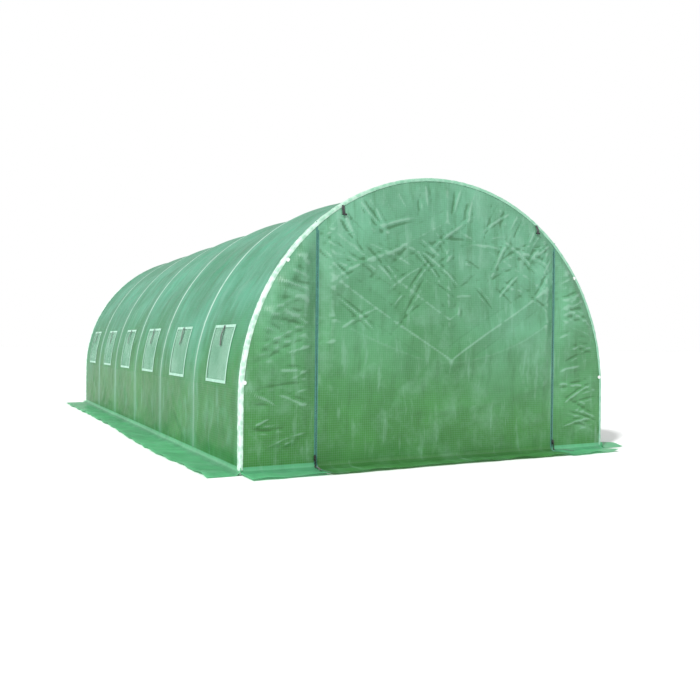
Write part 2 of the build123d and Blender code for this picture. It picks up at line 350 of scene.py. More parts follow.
class Finish:
    """A material and the nodes that make it."""

    def __init__(self, name):
        self.material = bpy.data.materials.new(name)
        self.material.use_nodes = True
        self.material.node_tree.nodes.clear()

    def node(self, kind, settings=None, inputs=None, out=0):
        tree = self.material.node_tree
        made = tree.nodes.new(kind)
        for key, value in (settings or {}).items():
            if key == "stops":
                while len(made.color_ramp.elements) < len(value):
                    made.color_ramp.elements.new(1.0)
                for stop, (place, colour) in zip(made.color_ramp.elements, value):
                    stop.position, stop.color = place, (*colour, 1.0)
            else:
                setattr(made, key, value)
        for key, value in (inputs or {}).items():
            if isinstance(value, Wire):
                tree.links.new(value.socket, made.inputs[key])
            else:
                made.inputs[key].default_value = value
        return Wire(self, made.outputs[out]) if made.outputs else made

    def place(self, out="Object"):
        return self.node("ShaderNodeTexCoord", out=out)

    def parts(self, vector):
        """The x, y and z of a vector."""
        split = self.node("ShaderNodeSeparateXYZ", inputs={0: vector})
        outputs = split.socket.node.outputs
        return [Wire(self, outputs[axis]) for axis in range(3)]

    def noise(self, vector, scale, detail=3.0, rough=0.55):
        return self.node("ShaderNodeTexNoise", {"noise_dimensions": "3D"},
                         {"Vector": vector, "Scale": scale, "Detail": detail,
                          "Roughness": rough})

    def mix(self, factor, first, second):
        """Blend of two colours."""
        return self.node("ShaderNodeMix", {"data_type": "RGBA"},
                         {0: factor, 6: first, 7: second}, out=2)

    def bump(self, height, distance, strength=1.0, under=None):
        inputs = {"Height": height, "Distance": distance, "Strength": strength}
        if under is not None:
            inputs["Normal"] = under
        return self.node("ShaderNodeBump", inputs=inputs)

    def surface(self, shader):
        self.node("ShaderNodeOutputMaterial", inputs={"Surface": shader})
        return self.material


def colour(red, green, blue):
    return (red, green, blue, 1.0)


def paler(tint, power):
    """Lighter tint: each part is raised to a power below 1."""
    return colour(*[part ** power for part in tint])


def darker(tint, share):
    return colour(*[part * share for part in tint])


# %% [markdown]
# ## The woven film
# The film is a scrim of flat tapes sealed between two clear layers. Light goes
# through it, so a translucent shader is mixed with the glossy one. Its weave
# reads the UV map in metres. Along each hoop it gets a painted highlight, a pale
# line where it is pulled over the tube. Its tint drifts a little at random, and
# it is painted darker green near the ground and paler teal towards the ridge:
# painted shade low down and painted sky light high up. Outward folds get a
# painted highlight and valleys painted shade.

# %% Film finish
def scrim(finish, u, v):
    """Raised threads of the scrim, 0 to 1: a coarse grid over a fine one."""
    coarse = u.wave(0.015).soft_step(0.6, 1.0) + v.wave(0.015).soft_step(0.6, 1.0)
    fine = u.wave(0.003) * v.wave(0.003)
    return coarse * 0.5 + fine * 0.4


def crumpled(finish, where, scale):
    """Small facets with sharp straight edges, as in crumpled film."""
    return finish.node("ShaderNodeTexVoronoi", {"feature": "F1", "distance": "EUCLIDEAN"},
                       {"Vector": where, "Scale": scale, "Randomness": 1.0})


def film(name, low, high, painted_hoop_highlight=True, shine=0.45, through=0.30, crisp=1.0,
         reach=(0.1, 1.7)):
    """Green woven film, from a low tint at the ground to a high one at the ridge."""
    finish = Finish(name)
    u, v, _ = finish.parts(finish.place("UV"))
    where = finish.place()
    _, y, z = finish.parts(where)
    fold = finish.node("ShaderNodeAttribute", {"attribute_name": "crest"}, out="Fac")
    threads = scrim(finish, u, v)
    # Painted light by height: the darker low tint near the ground is painted shade, and the paler
    # high tint towards the ridge is painted sky light; the drift noise makes the change wander at
    # random.
    drift = finish.noise(where, 0.9, 3.0) * 1.2 - 0.6
    base = finish.mix((z + drift).soft_step(*reach), colour(*low), colour(*high))
    broad = finish.noise(where, 1.7, 5.0, 0.6).soft_step(0.40, 0.66)
    patch = finish.noise(where, 4.5, 6.0, 0.66).soft_step(0.47, 0.72)
    tint = finish.mix((1.0 - broad) * 0.34, base, darker(low, 0.42))
    tint = finish.mix(patch * 0.22, tint, paler(high, 0.6))
    stretched = finish.node("ShaderNodeCombineXYZ", inputs={0: u * 8.0, 1: v * 1.4})
    streak = finish.noise(stretched, 1.6, 5.0, 0.6)
    tint = finish.mix((1.0 - streak.soft_step(0.30, 0.50)) * 0.34, tint, darker(low, 0.45))
    tint = finish.mix(streak.soft_step(0.54, 0.70) * 0.26, tint, paler(high, 0.55))
    tint = finish.mix(threads * 0.20, tint, paler(high, 0.7))
    # Painted highlight on outward folds and painted shade in the valleys, from the crest values.
    tint = finish.mix(fold.soft_step(0.25, 1.0) * 0.40, tint, paler(high, 0.5))
    tint = finish.mix((fold * -1.0).soft_step(0.2, 1.0) * 0.5, tint, darker(low, 0.35))
    # Painted highlight along each hoop, where the film is pulled over the tube: a pale halo and a
    # broken near-white line, brighter higher up.
    if painted_hoop_highlight:
        phase = (y - HOOP_PLACES[0]) / BAY + 0.5
        away = abs(phase - finish.node("ShaderNodeMath", {"operation": "FLOOR"}, {0: phase})
                   - 0.5) * BAY
        broken = finish.noise(where, 9.0, 3.0).soft_step(0.25, 0.55) * 0.5 + 0.5
        line = (1.0 - away.soft_step(0.007, 0.020)) * broken * (z.soft_step(0.2, 1.3) * 0.8 + 0.2)
        painted_hoop_glow = (1.0 - away.soft_step(0.0, 0.11)) * 0.30
        tint = finish.mix(painted_hoop_glow, tint, paler(high, 0.7))
        tint = finish.mix(line * 0.85, tint, colour(0.72, 0.92, 0.82))
    facets = crumpled(finish, where, 5.0) + crumpled(finish, where, 12.0) * 0.45
    coarse = finish.bump(facets, 0.014 * crisp, 0.45)
    height = threads * 0.5 + finish.noise(where, 90.0, 4.0) * 0.8
    normal = finish.bump(height, 0.0014, 0.6, coarse)
    gloss = finish.noise(where, 18.0, 3.0) * 0.18 + 0.27
    skin = finish.node("ShaderNodeBsdfPrincipled", inputs={
        "Base Color": tint, "Roughness": gloss, "Normal": normal, "IOR": 1.5,
        "Specular IOR Level": shine, "Coat Weight": 0.08, "Coat Roughness": 0.2})
    glow = finish.node("ShaderNodeBsdfTranslucent", inputs={"Color": tint, "Normal": normal})
    return finish.surface(finish.node("ShaderNodeMixShader",
                                      inputs={0: through, 1: skin, 2: glow}))


LOW_GREEN, HIGH_TEAL = (0.066, 0.300, 0.056), (0.190, 0.500, 0.320)
cover_film = film("film_cover", (0.040, 0.270, 0.044), (0.106, 0.418, 0.262), shine=0.25,
                  reach=(0.35, 1.25))
end_film = film("film_end", LOW_GREEN, HIGH_TEAL, painted_hoop_highlight=False)
# The skirt is the same film in a lighter tint: painted light where it lies facing the sky.
skirt_film = film("film_skirt", (0.150, 0.600, 0.290), HIGH_TEAL, painted_hoop_highlight=False)
flap_film = film("film_flap", (0.200, 0.480, 0.310), (0.30, 0.60, 0.44), painted_hoop_highlight=False,
                 through=0.5, crisp=0.3)

# %% [markdown]
# ## Tapes, nets and webbing
# Window edges are bound in white woven tape with two rows of stitches, which
# are not drawn. The nets are a fine mesh: threads with open air between, so
# their alpha follows the weave. Straps are black ribbed webbing, and the zips
# are teal tape.

# %% Trim finishes
def woven_tape(name, dark, light, ribs, rough=0.75, stitches=None, painted_sunlit_crinkles=False):
    """Ribbed woven tape; u runs across it and v along it, in metres."""
    finish = Finish(name)
    u, v, _ = finish.parts(finish.place("UV"))
    where = finish.place()
    weave = u.wave(ribs) * 0.5 + v.wave(ribs) * 0.5
    worn = finish.noise(where, 30.0, 5.0).soft_step(0.35, 0.7)
    pale = weave * 0.6 + worn * 0.4
    # For the hem, the tint is painted light: painted highlights on the crinkles, and brighter
    # towards the left, the sunlit side.
    if painted_sunlit_crinkles:
        across = finish.parts(where)[0]
        crinkled = crumpled(finish, where, 26.0).soft_step(0.25, 0.75)
        left = (across * -1.0).soft_step(0.3, 1.35)
        pale = (weave * 0.2 + crinkled * 0.5 + 0.3) * (left * 0.74 + 0.26)
    tint = finish.mix(pale, colour(*dark), colour(*light))
    height = weave
    if stitches:
        rows = (abs(u - stitches) < 0.0007) + (abs(u + stitches) < 0.0007)
        thread = rows * (v.wave(0.006) > 0.35)
        tint = finish.mix(thread, tint, darker(light, 0.8))
        height = height - rows * 1.5 + thread * 2.5
    normal = finish.bump(height, 0.0006, 0.7)
    skin = finish.node("ShaderNodeBsdfPrincipled", inputs={
        "Base Color": tint, "Roughness": worn * 0.1 + (rough - 0.05), "Normal": normal,
        "Sheen Weight": 0.3})
    return finish.surface(skin)


def net_finish():
    """White insect net: threads every 2.5 mm, open between."""
    finish = Finish("net_white")
    u, v, _ = finish.parts(finish.place("UV"))
    where = finish.place()
    threads = u.wave(0.0025).soft_step(0.55, 0.8) + v.wave(0.0025).soft_step(0.55, 0.8)
    hazy = finish.noise(where, 5.0, 4.0).soft_step(0.3, 0.7)
    tint = finish.mix(hazy, colour(0.17, 0.42, 0.27), colour(0.31, 0.57, 0.42))
    normal = finish.bump(threads, 0.0004, 0.6)
    cover = threads * 0.45 + 0.28
    skin = finish.node("ShaderNodeBsdfPrincipled", inputs={
        "Base Color": tint, "Roughness": hazy * 0.1 + 0.6, "Normal": normal})
    air = finish.node("ShaderNodeBsdfTransparent")
    return finish.surface(finish.node("ShaderNodeMixShader", inputs={0: cover, 1: air, 2: skin}))


white_tape = woven_tape("tape_white", (0.21, 0.48, 0.34), (0.42, 0.69, 0.55), 0.0016)
# The hem's pale tint is a painted highlight, brightest on the left, sunlit side.
hem_tape = woven_tape("hem_pale", (0.13, 0.42, 0.25), (0.74, 0.93, 0.82), 0.002, 0.42,
                      painted_sunlit_crinkles=True)
black_webbing = woven_tape("webbing_black", (0.008, 0.010, 0.010), (0.035, 0.04, 0.038),
                           0.0018, 0.7, stitches=0.0075)
zip_tape = woven_tape("zip_teal", (0.020, 0.135, 0.110), (0.065, 0.28, 0.215), 0.0012, 0.6)
window_net = net_finish()

# %% [markdown]
# ## Metal and moulded parts
# The tubes are powder coated, which leaves a fine orange-peel skin and scuffs
# where tubes slide together. The joints are moulded in black plastic with a
# faint grain. Nuts and bolts are zinc plated.

# %% Hard finishes
def hard(name, base, worn, rough, metal, grain, depth, coat=0.0):
    """Coated metal or moulded plastic with grain and wear."""
    finish = Finish(name)
    where = finish.place()
    speck = finish.noise(where, grain, 4.0)
    rub = finish.noise(where, 7.0, 6.0, 0.7).soft_step(0.56, 0.72)
    tint = finish.mix(rub * 0.5, colour(*base), colour(*worn))
    skin = finish.node("ShaderNodeBsdfPrincipled", inputs={
        "Base Color": tint, "Roughness": rub * 0.16 + rough, "Metallic": metal,
        "Coat Weight": coat, "Normal": finish.bump(speck, depth, 0.6)})
    return finish.surface(skin)


tube_coat = hard("tube_coat", (0.66, 0.69, 0.70), (0.45, 0.47, 0.47), 0.38, 0.0, 700.0,
                 0.0002, 0.2)
zinc = hard("zinc", (0.56, 0.57, 0.60), (0.36, 0.37, 0.38), 0.34, 1.0, 500.0, 0.0001)
joint_plastic = hard("joint_plastic", (0.020, 0.021, 0.023), (0.06, 0.06, 0.065), 0.46,
                     0.0, 900.0, 0.0002)
clip_plastic = hard("clip_plastic", (0.74, 0.78, 0.76), (0.55, 0.6, 0.57), 0.4, 0.0, 800.0,
                    0.0001)
slider_enamel = hard("slider_enamel", (0.012, 0.013, 0.013), (0.20, 0.20, 0.20), 0.3, 0.4,
                     900.0, 0.0001, 0.3)
finish_of = {"coach_bolts": zinc, "wing_nuts": zinc, "base_tees": joint_plastic,
             "hem_clips": clip_plastic, "zip_slider_left": slider_enamel,
             "zip_slider_right": slider_enamel}
for node_name, node_object in frame["nodes"].items():
    node_object.data.materials.clear()
    node_object.data.materials.append(finish_of.get(node_name, tube_coat))

# %% [markdown]
# ## Roof, window bands and walls
# The cover is one surface. It is cut along its real seams into the roof, a
# window band on each side and the walls below, and the bands have their six
# openings left out.

# %% Cover sheets
def around_opening(middle_y, heights):
    """Which quads of a grid lie outside a window opening; middle_y is from its middle."""
    middle_h = (heights[:-1] + heights[1:]) / 2
    in_h = (middle_h > WINDOW_SILL) & (middle_h < WINDOW_HEAD)
    return ~(in_h[:, None] & (np.abs(middle_y) < WINDOW_HALF)[None, :])


def cover_sheet(name, low, high, side, finish, over, step=0.024, extra=()):
    """A strip of the cover between two girth heights; side 0 is right over the ridge."""
    heights = spread(sorted([low, high, *extra]), step)
    if side:
        girth = side * (HALF_GIRTH - heights)
    else:
        half = HALF_GIRTH - heights
        girth = np.concatenate([-half, half[::-1][1:]])
    points, uv, outward = cover_points(cover_lines, girth)
    keep = None
    if extra:
        middle_y = (cover_lines[:-1] + cover_lines[1:]) / 2
        bay = np.clip(np.round((middle_y - bay_middle(0)) / BAY), 0, HOOPS - 2)
        keep = around_opening(middle_y - bay_middle(0) - bay * BAY, heights)
    piece = make_sheet(name, points, uv, outward, keep)
    width, length = abs(girth[-1] - girth[0]), 2 * END
    holes = (HOOPS - 1) * 2 * WINDOW_HALF * (WINDOW_HEAD - WINDOW_SILL) if extra else 0
    area = width * length - holes if extra else None
    return settle(piece, "root", finish, width, length, over)


cover_sheet("roof_film", SEAM_HIGH, HALF_GIRTH, 0, cover_film, ["roof_left", "roof_right"])
for word, side in SIDES.items():
    cover_sheet(f"window_band_film_{word}", SEAM_LOW, SEAM_HIGH, side, cover_film,
                [f"window_band_{word}"], extra=(WINDOW_SILL, WINDOW_HEAD))
    cover_sheet(f"lower_wall_film_{word}", WALL_FOOT, SEAM_LOW, side, cover_film,
                [f"lower_wall_{word}"])

# %% [markdown]
# ## Windows
# Each window is a net behind a bound opening. Inside hangs a film flap on its
# own hinge line, and outside a strap hangs over the middle. Each net gets its
# own slack, so that no two windows look alike.

# %% Nets, tapes and flaps
TAPE_WIDTH = 0.020
FLAP_R = 1.4868
FLAP_LAP = 0.018
NET_STEP = 0.013


def framed(low, high, grow):
    """Two edges, and the edges of a border round them if there is one."""
    return [low - grow, low, high, high + grow] if grow else [low, high]


def window_grid(bay, side, grow, step, lift, slack, seed):
    """Grid over one window, larger by grow on every edge."""
    middle = bay_middle(bay)
    y = spread(framed(middle - WINDOW_HALF, middle + WINDOW_HALF, grow), step)
    heights = spread(framed(WINDOW_SILL, WINDOW_HEAD, grow), step)
    girth = side * (HALF_GIRTH - heights)
    points, uv, outward = cover_points(y, girth, lift)
    wave = crease(uv[..., 0] * 7, uv[..., 1] * 4, seed) * slack
    return points + outward * wave[..., None], uv, outward, y, heights


def window_binding(bay, side, word):
    """White tape round one opening."""
    points, uv, outward, y, heights = window_grid(bay, side, TAPE_WIDTH, 0.0125, 0.0026,
                                                  0.0005, 70 + bay)
    keep = around_opening((y[:-1] + y[1:]) / 2 - bay_middle(bay), heights)
    piece = make_sheet(f"window_tape_{word}_{bay + 1}", points, uv, outward, keep)
    width = 2 * (WINDOW_HALF + TAPE_WIDTH)
    height = heights[-1] - heights[0]
    area = width * height - 2 * WINDOW_HALF * (WINDOW_HEAD - WINDOW_SILL)
    return piece, width, height, area


for word, side in SIDES.items():
    for bay in range(HOOPS - 1):
        label = f"{word}_{bay + 1}"
        binding, width, height, area = window_binding(bay, side, word)
        if area < 0.3 * width * height:
            width, height, area = TAPE_WIDTH, area / TAPE_WIDTH, None
        settle(binding, "root", white_tape, width, height,
               ["window_tapes"])
        points, uv, outward, _, _ = window_grid(bay, side, 0, NET_STEP, -0.0008, 0.0011,
                                                90 + bay * 7 + side)
        net = make_sheet(f"window_net_{label}", points, uv, outward)
        settle(net, "root", window_net, 2 * WINDOW_HALF, WINDOW_HEAD - WINDOW_SILL,
               [f"window_nets_{word}"])
        y = spread([bay_middle(bay) - WINDOW_HALF - FLAP_LAP,
                    bay_middle(bay) + WINDOW_HALF + FLAP_LAP], NET_STEP)
        heights = spread([WINDOW_SILL - FLAP_LAP, WINDOW_HEAD + FLAP_LAP], NET_STEP)
        points, uv, outward = cover_points(y, side * (HALF_GIRTH - heights))
        x, z, out_x, out_z = arch(heights[:, None] + 0 * y[None, :])
        inset = FLAP_R - FILM_R + 0.0007 * crease(uv[..., 0] * 8, uv[..., 1] * 8, 140 + bay)
        points = np.stack([side * (x + inset * out_x), uv[..., 0], z + inset * out_z], -1)
        flap = make_sheet(f"window_flap_film_{label}", points, uv, outward)
        settle(flap, f"window_flap_{label}", flap_film, y[-1] - y[0],
               heights[-1] - heights[0], [f"window_flap_{label}"])

# %% [markdown]
# ## Straps and pulls
# A strap is a flat ribbon with a little thickness, closed at its ends. It is
# built along a line of points with one width direction, so one function
# makes window straps, door ties and zip pulls.

# %% Ribbons
def ribbon(name, line, across, width, thick, body, finish, over=()):
    """Closed flat strap along a line of points; across is its width direction."""
    line = np.array(line, float)
    across = np.array(across, float)
    across = across / np.linalg.norm(across)
    along = np.gradient(line, axis=0)
    face = np.cross(along, across)
    face = face / np.linalg.norm(face, axis=1, keepdims=True)
    corners = [(-0.5, -0.5), (0.5, -0.5), (0.5, 0.5), (-0.5, 0.5)]
    rings = [line + across * width * a + face * thick * b for a, b in corners]
    count = len(line)
    points = np.stack(rings, 1).reshape(-1, 3)
    faces = [[k * 4 + c, k * 4 + (c + 1) % 4, k * 4 + 4 + (c + 1) % 4, k * 4 + 4 + c]
             for k in range(count - 1) for c in range(4)]
    faces += [[3, 2, 1, 0], [count * 4 - 4, count * 4 - 3, count * 4 - 2, count * 4 - 1]]
    mesh = bpy.data.meshes.new(name)
    mesh.from_pydata(points.tolist(), [], faces)
    steps = np.concatenate([[0], np.cumsum(np.linalg.norm(np.diff(line, axis=0), axis=1))])
    layer = mesh.uv_layers.new(name="UVMap")
    for loop in mesh.loops:
        ring, corner = divmod(loop.vertex_index, 4)
        layer.data[loop.index].uv = (corners[corner][0] * width, steps[ring])
    piece = add_piece(name, mesh)
    recalculate(piece)
    return settle(piece, body, finish, width, float(steps[-1]), over)


def recalculate(piece):
    """Turn every face outwards."""
    bpy.ops.object.select_all(action="DESELECT")
    bpy.context.view_layer.objects.active = piece
    piece.select_set(True)
    bpy.ops.object.mode_set(mode="EDIT")
    bpy.ops.mesh.select_all(action="SELECT")
    bpy.ops.mesh.normals_make_consistent(inside=False)
    bpy.ops.object.mode_set(mode="OBJECT")


STRAP_DROP = 0.14
STRAP_WIDTH, STRAP_THICK = 0.02, 0.0014
for word, side in SIDES.items():
    for bay in range(HOOPS - 1):
        drop = np.linspace(0, STRAP_DROP, 15)
        part = drop / STRAP_DROP
        heights = WINDOW_HEAD + 0.014 - drop
        sway = (0.010 if bay % 2 else -0.007) * part ** 2
        sway = sway + 0.006 * np.sin(part * 5 + bay * 1.7) * drop / STRAP_DROP
        x, z, out_x, out_z = arch(heights)
        lift = 0.0055 + 0.004 * np.sin(part * 3 + bay) ** 2
        line = np.stack([side * (x + lift * out_x), bay_middle(bay) + sway,
                         z + lift * out_z], -1)
        ribbon(f"window_strap_{word}_{bay + 1}", line, (0, 1, 0), STRAP_WIDTH,
               STRAP_THICK, "root", black_webbing, [f"window_straps_{word}"])

# %% [markdown]
# ## The end walls
# An end wall is packed folded, so it keeps its fold lines: a large diamond, and a
# line up the middle. Two long swags hang from the legs. Above the upper one the
# film leans back and looks lighter, and below it leans out and looks darker. High
# up it is wrinkled, near the hoop it is pulled into short radial creases, and
# beside the legs the pulls run level. Along the zips it is held flat.

# %% End wall relief
ZIP_LINE = 0.99
FOLD_COUNT = 330
FRONT_SEED, REAR_SEED = 200, 300


def arch_top(x):
    """Height of the end wall's edge above a place x."""
    return LEG + np.sqrt(np.maximum(FILM_R ** 2 - x ** 2, 0))


def ridge(distance, width):
    """1 on a line, falling straight to 0 at this distance from it."""
    return np.maximum(1 - np.abs(distance) / width, 0)


def scatter_folds(seed):
    """Short straight folds: the place, turn, half length, width and height of each."""
    random = np.random.RandomState(seed)
    folds = []
    for number in range(FOLD_COUNT):
        if number % 3 == 0:
            place = random.uniform(-1.15, 1.15), random.normal(1.36, 0.17)
            turn = random.uniform(-1.1, 1.1)
        elif number % 3 == 1:
            around = random.uniform(0.15, math.pi - 0.15)
            out = random.uniform(1.28, 1.44)
            place = out * math.cos(around), LEG + out * math.sin(around)
            turn = around + random.uniform(-0.3, 0.3)
        else:
            place = random.choice([-1, 1]) * random.uniform(1.04, 1.42), random.uniform(0.15, 1.25)
            turn = random.uniform(-0.5, 0.5)
        size = random.uniform(0.06, 0.26), random.uniform(0.015, 0.028)
        folds.append((place, turn, size, random.uniform(-0.0055, 0.0065)))
    return folds


def short_folds(x, z, seed):
    """Height of the scattered folds of one end wall."""
    total = 0.0 * x
    for (at_x, at_z), turn, (half, width), height in scatter_folds(seed):
        along = (x - at_x) * math.cos(turn) + (z - at_z) * math.sin(turn)
        across = (z - at_z) * math.cos(turn) - (x - at_x) * math.sin(turn)
        bowed = across + 0.07 * along ** 2 / half
        total += height * ridge(bowed, width) * np.maximum(1 - (along / half) ** 2, 0)
    return total


def end_relief(x, z, seed, door=True):
    """How far the end film stands out from its plane, in metres."""
    radius = np.where(z > LEG, np.hypot(x, z - LEG), np.abs(x))
    edge = np.maximum(FILM_R - radius, 0)
    free = ease(edge / 0.10)
    drift = 0.03 * swell(x * 1.7, z * 1.7, seed + 3)
    wide = np.abs(x + drift)
    diamond = ridge(z - 0.70 - 0.60 * wide, 0.10) + ridge(z - 1.66 + 0.52 * wide, 0.09) * 0.7
    diamond = diamond + ridge(z - 0.98 - 0.62 * wide, 0.07) * 0.6 * (x < 0.1)
    upright = ridge(x + drift * 0.3, 0.05) * 0.5 * ease((z - 0.7) / 0.4)
    low = 0.36 + 0.20 * x ** 2 + drift
    high = 0.70 + 0.34 * x ** 2 + drift
    lean = np.where(z < low, 0.18 * z / low,
                    np.where(z < high, 0.18 + 0.82 * (z - low) / (high - low),
                             1 - 0.9 * (z - high) / (1.96 - high)))
    rolls = 0.003 * np.exp(-((z - high) / 0.045) ** 2) + 0.006 * np.exp(-((z - low) / 0.04) ** 2)
    swags = lean * 0.042 + rolls
    band = np.exp(-((z - 1.36) / 0.26) ** 2)
    crinkle = crease(x * 2.6, z * 4.4, seed + 7) * (0.0012 + 0.0030 * band)
    soft = crease(x * 1.2, z * 1.6, seed + 9, 2) * 0.006
    relief = (diamond + upright) * 0.013 + swags + crinkle + soft
    relief = relief + short_folds(x, z, seed)
    if door:
        relief = relief * (0.03 + 0.97 * ease(np.abs(np.abs(x) - ZIP_LINE) / 0.11))
    return relief * free * ease((z - WALL_FOOT) / 0.12)


def end_points(x_grid, z_grid, facing, seed, door=True):
    """Grid of points on an end wall; facing is -1 for the front, 1 for the rear."""
    relief = end_relief(x_grid, z_grid, seed, door)
    y_grid = facing * (-FRONT + relief)
    return np.stack([x_grid, y_grid, z_grid], -1), np.stack([x_grid, z_grid], -1)


def end_sheet(name, x, low, high, rows, facing, seed, door=True):
    """End wall film between two edges given as heights over x."""
    part = np.linspace(0, 1, rows)[:, None]
    z_grid = low[None, :] * (1 - part) + high[None, :] * part
    x_grid = np.broadcast_to(x, z_grid.shape)
    points, uv = end_points(x_grid, z_grid, facing, seed, door)
    return make_sheet(name, points, uv, (0, facing, 0))


# %% [markdown]
# ## Ground skirts
# The film turns outward at the ground and lies there, to be dug in or weighted.
# It is not pulled tight, so it ripples, and the ripples grow towards the loose
# edge, which is cut by hand and wanders.

# %% Ground skirts
RIPPLE_LENGTH = 0.37


def skirt_profile(reach, along, out):
    """Distance outward and height of a skirt; out runs from 0 at the fold to 1."""
    lie = out * reach
    fold = np.minimum(lie / WALL_FOOT, 1.0) * math.pi / 2
    distance = np.where(lie < WALL_FOOT, WALL_FOOT * (1 - np.cos(fold)), lie)
    turn_up = WALL_FOOT * (1 - np.sin(fold))
    ripple = 0.5 + 0.5 * crease(along * 3.3, lie * 4, 41, 2)
    wave = 0.5 + 0.5 * np.sin(along * 2 * math.pi / RIPPLE_LENGTH + 3 * swell(along, lie, 43))
    grow = ease(lie / 0.25)
    height = 0.002 + turn_up + (0.010 * ripple + 0.013 * wave * grow) * ease(lie / 0.05)
    return distance, height


def skirt_grid(low, high, to_world, reach_of, step=0.02):
    """Grid of a skirt along a straight foot line from low to high."""
    along = spread([low, high], step)
    out = np.concatenate([np.linspace(0, 0.1, 7), np.linspace(0.1, 1, 14)[1:]])
    along_grid, out_grid = np.meshgrid(along, out, indexing="xy")
    reach = reach_of(along_grid)
    distance, height = skirt_profile(reach, along_grid, out_grid)
    points = to_world(along_grid, distance, height)
    return points, np.stack([along_grid, out_grid * reach], -1)


def wandering(seed, mean=0.235, spread_by=0.03):
    """Reach of a hand-cut edge, as a function of the place along it."""
    def reach(along):
        return mean + spread_by * swell(along * 1.1, along * 0 + 0.5, seed) \
            + 0.008 * crease(along * 7, along * 0, seed + 1, 2)
    return reach


for word, side in SIDES.items():
    def side_world(along, distance, height, side=side):
        wall = FILM_R + cover_relief(along, np.full_like(along, HALF_GIRTH - WALL_FOOT))
        return np.stack([side * (wall + distance), along, height], -1)

    points, uv = skirt_grid(-END - 0.02, END + 0.02, side_world, wandering(50 + side))
    skirt = make_sheet(f"skirt_film_{word}", points, uv, (0, 0, 1))
    settle(skirt, "root", skirt_film, 2 * END, SKIRT_REACH, [f"skirt_{word}"])


def end_skirt(name, low, high, facing, seed, over):
    """Skirt in front of an end wall."""
    def world(along, distance, height):
        foot = end_relief(along, np.full_like(along, WALL_FOOT),
                          FRONT_SEED if facing < 0 else REAR_SEED, facing < 0)
        return np.stack([along, facing * (-FRONT + foot + distance), height], -1)

    points, uv = skirt_grid(low, high, world, wandering(seed, 0.235, 0.045))
    piece = make_sheet(name, points, uv, (0, 0, 1))
    return settle(piece, "root", skirt_film, high - low, SKIRT_REACH, over)


# %% [markdown]
# ## Fixed end film
# Beside the door the film is fixed to the legs and the hoop. The rear end is one
# plain wall.

# %% Fixed end film
for word, side in SIDES.items():
    x = side * spread([ZIP_LINE, 1.03, FILM_R - 0.02, FILM_R], 0.012)
    x.sort()
    foot = np.full_like(x, WALL_FOOT)
    panel = end_sheet(f"front_film_{word}", x, foot, arch_top(x), 130, -1, FRONT_SEED)
    settle(panel, "root", end_film, FILM_R - ZIP_LINE, arch_top(ZIP_LINE),
           [f"front_wall_{word}"])
    edges = sorted([side * ZIP_LINE, side * FILM_R])
    end_skirt(f"front_skirt_{word}", edges[0], edges[1], -1, 60 + side, [])

x = spread([-FILM_R, -FILM_R + 0.02, FILM_R - 0.02, FILM_R], 0.02)
rear = end_sheet("rear_film", x, np.full_like(x, WALL_FOOT), arch_top(x), 110, 1, REAR_SEED,
                 door=False)
settle(rear, "root", end_film, 2 * FILM_R, LEG + FILM_R,
       ["rear_wall"])
end_skirt("rear_skirt", -FILM_R, FILM_R, 1, 66, [])

# %% [markdown]
# ## The door curtain
# The door rolls up from its foot, and its joints are five lines across it. The
# curtain is cut half way between those lines, so each piece holds one line,
# from the strip above it to the strip below. The top piece holds the fixed film
# over the door, and the last one lies on the ground as the door's own skirt.

# %% Door curtain
DOOR_HALF = 0.9865
DOOR_TAPE = 0.978
STRIPS = sum(1 for name in frame["nodes"] if name.startswith("door_strip_"))
hinges = [joint["pos_m"][2] for joint in frame["joints"] if joint["name"].startswith("door_roll")]
hinges.sort(reverse=True)
middles = [(high + low) / 2 for high, low in zip(hinges, hinges[1:] + [0.006])]
door_lines = spread([-DOOR_HALF, -DOOR_TAPE, 0, DOOR_TAPE, DOOR_HALF], 0.012)


def curtain_points(heights):
    x_grid, z_grid = np.meshgrid(door_lines, heights, indexing="xy")
    return end_points(x_grid, z_grid, -1, FRONT_SEED)


def curtain_piece(name, points, uv, bodies, hinge, reach, over, width, length):
    """One length of the curtain, its outer edges in zip tape."""
    piece = make_sheet(name, points, uv, (0, -1, 0.2))
    settle(piece, None if hinge else bodies[0], end_film, width, length, over)
    piece.data.materials.append(zip_tape)
    columns = points.shape[1] - 1
    centre = (door_lines[:-1] + door_lines[1:]) / 2
    if columns == len(centre):
        outer = [int(abs(c) > DOOR_TAPE) for c in centre]
        piece.data.polygons.foreach_set("material_index", outer * (points.shape[0] - 1))
    if hinge is not None:
        hinge + reach[0]
        hinge - reach[1]
        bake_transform(piece)
    return piece


points, uv = curtain_points(spread([middles[0], hinges[0]], 0.012))
curtain_piece("door_curtain_1", points, uv, ("root", "door_strip_1"), hinges[0],
              (0.0, hinges[0] - middles[0]), [], 2 * DOOR_HALF, hinges[0] - middles[0])
for number in range(1, STRIPS):
    low, high = middles[number], middles[number - 1]
    points, uv = curtain_points(spread([low, hinges[number], high], 0.012))
    curtain_piece(f"door_curtain_{number + 1}", points, uv,
                  (f"door_strip_{number}", f"door_strip_{number + 1}"), hinges[number],
                  (high - hinges[number], hinges[number] - low),
                  [f"door_strip_{number}"], 2 * DOOR_HALF, high - low)

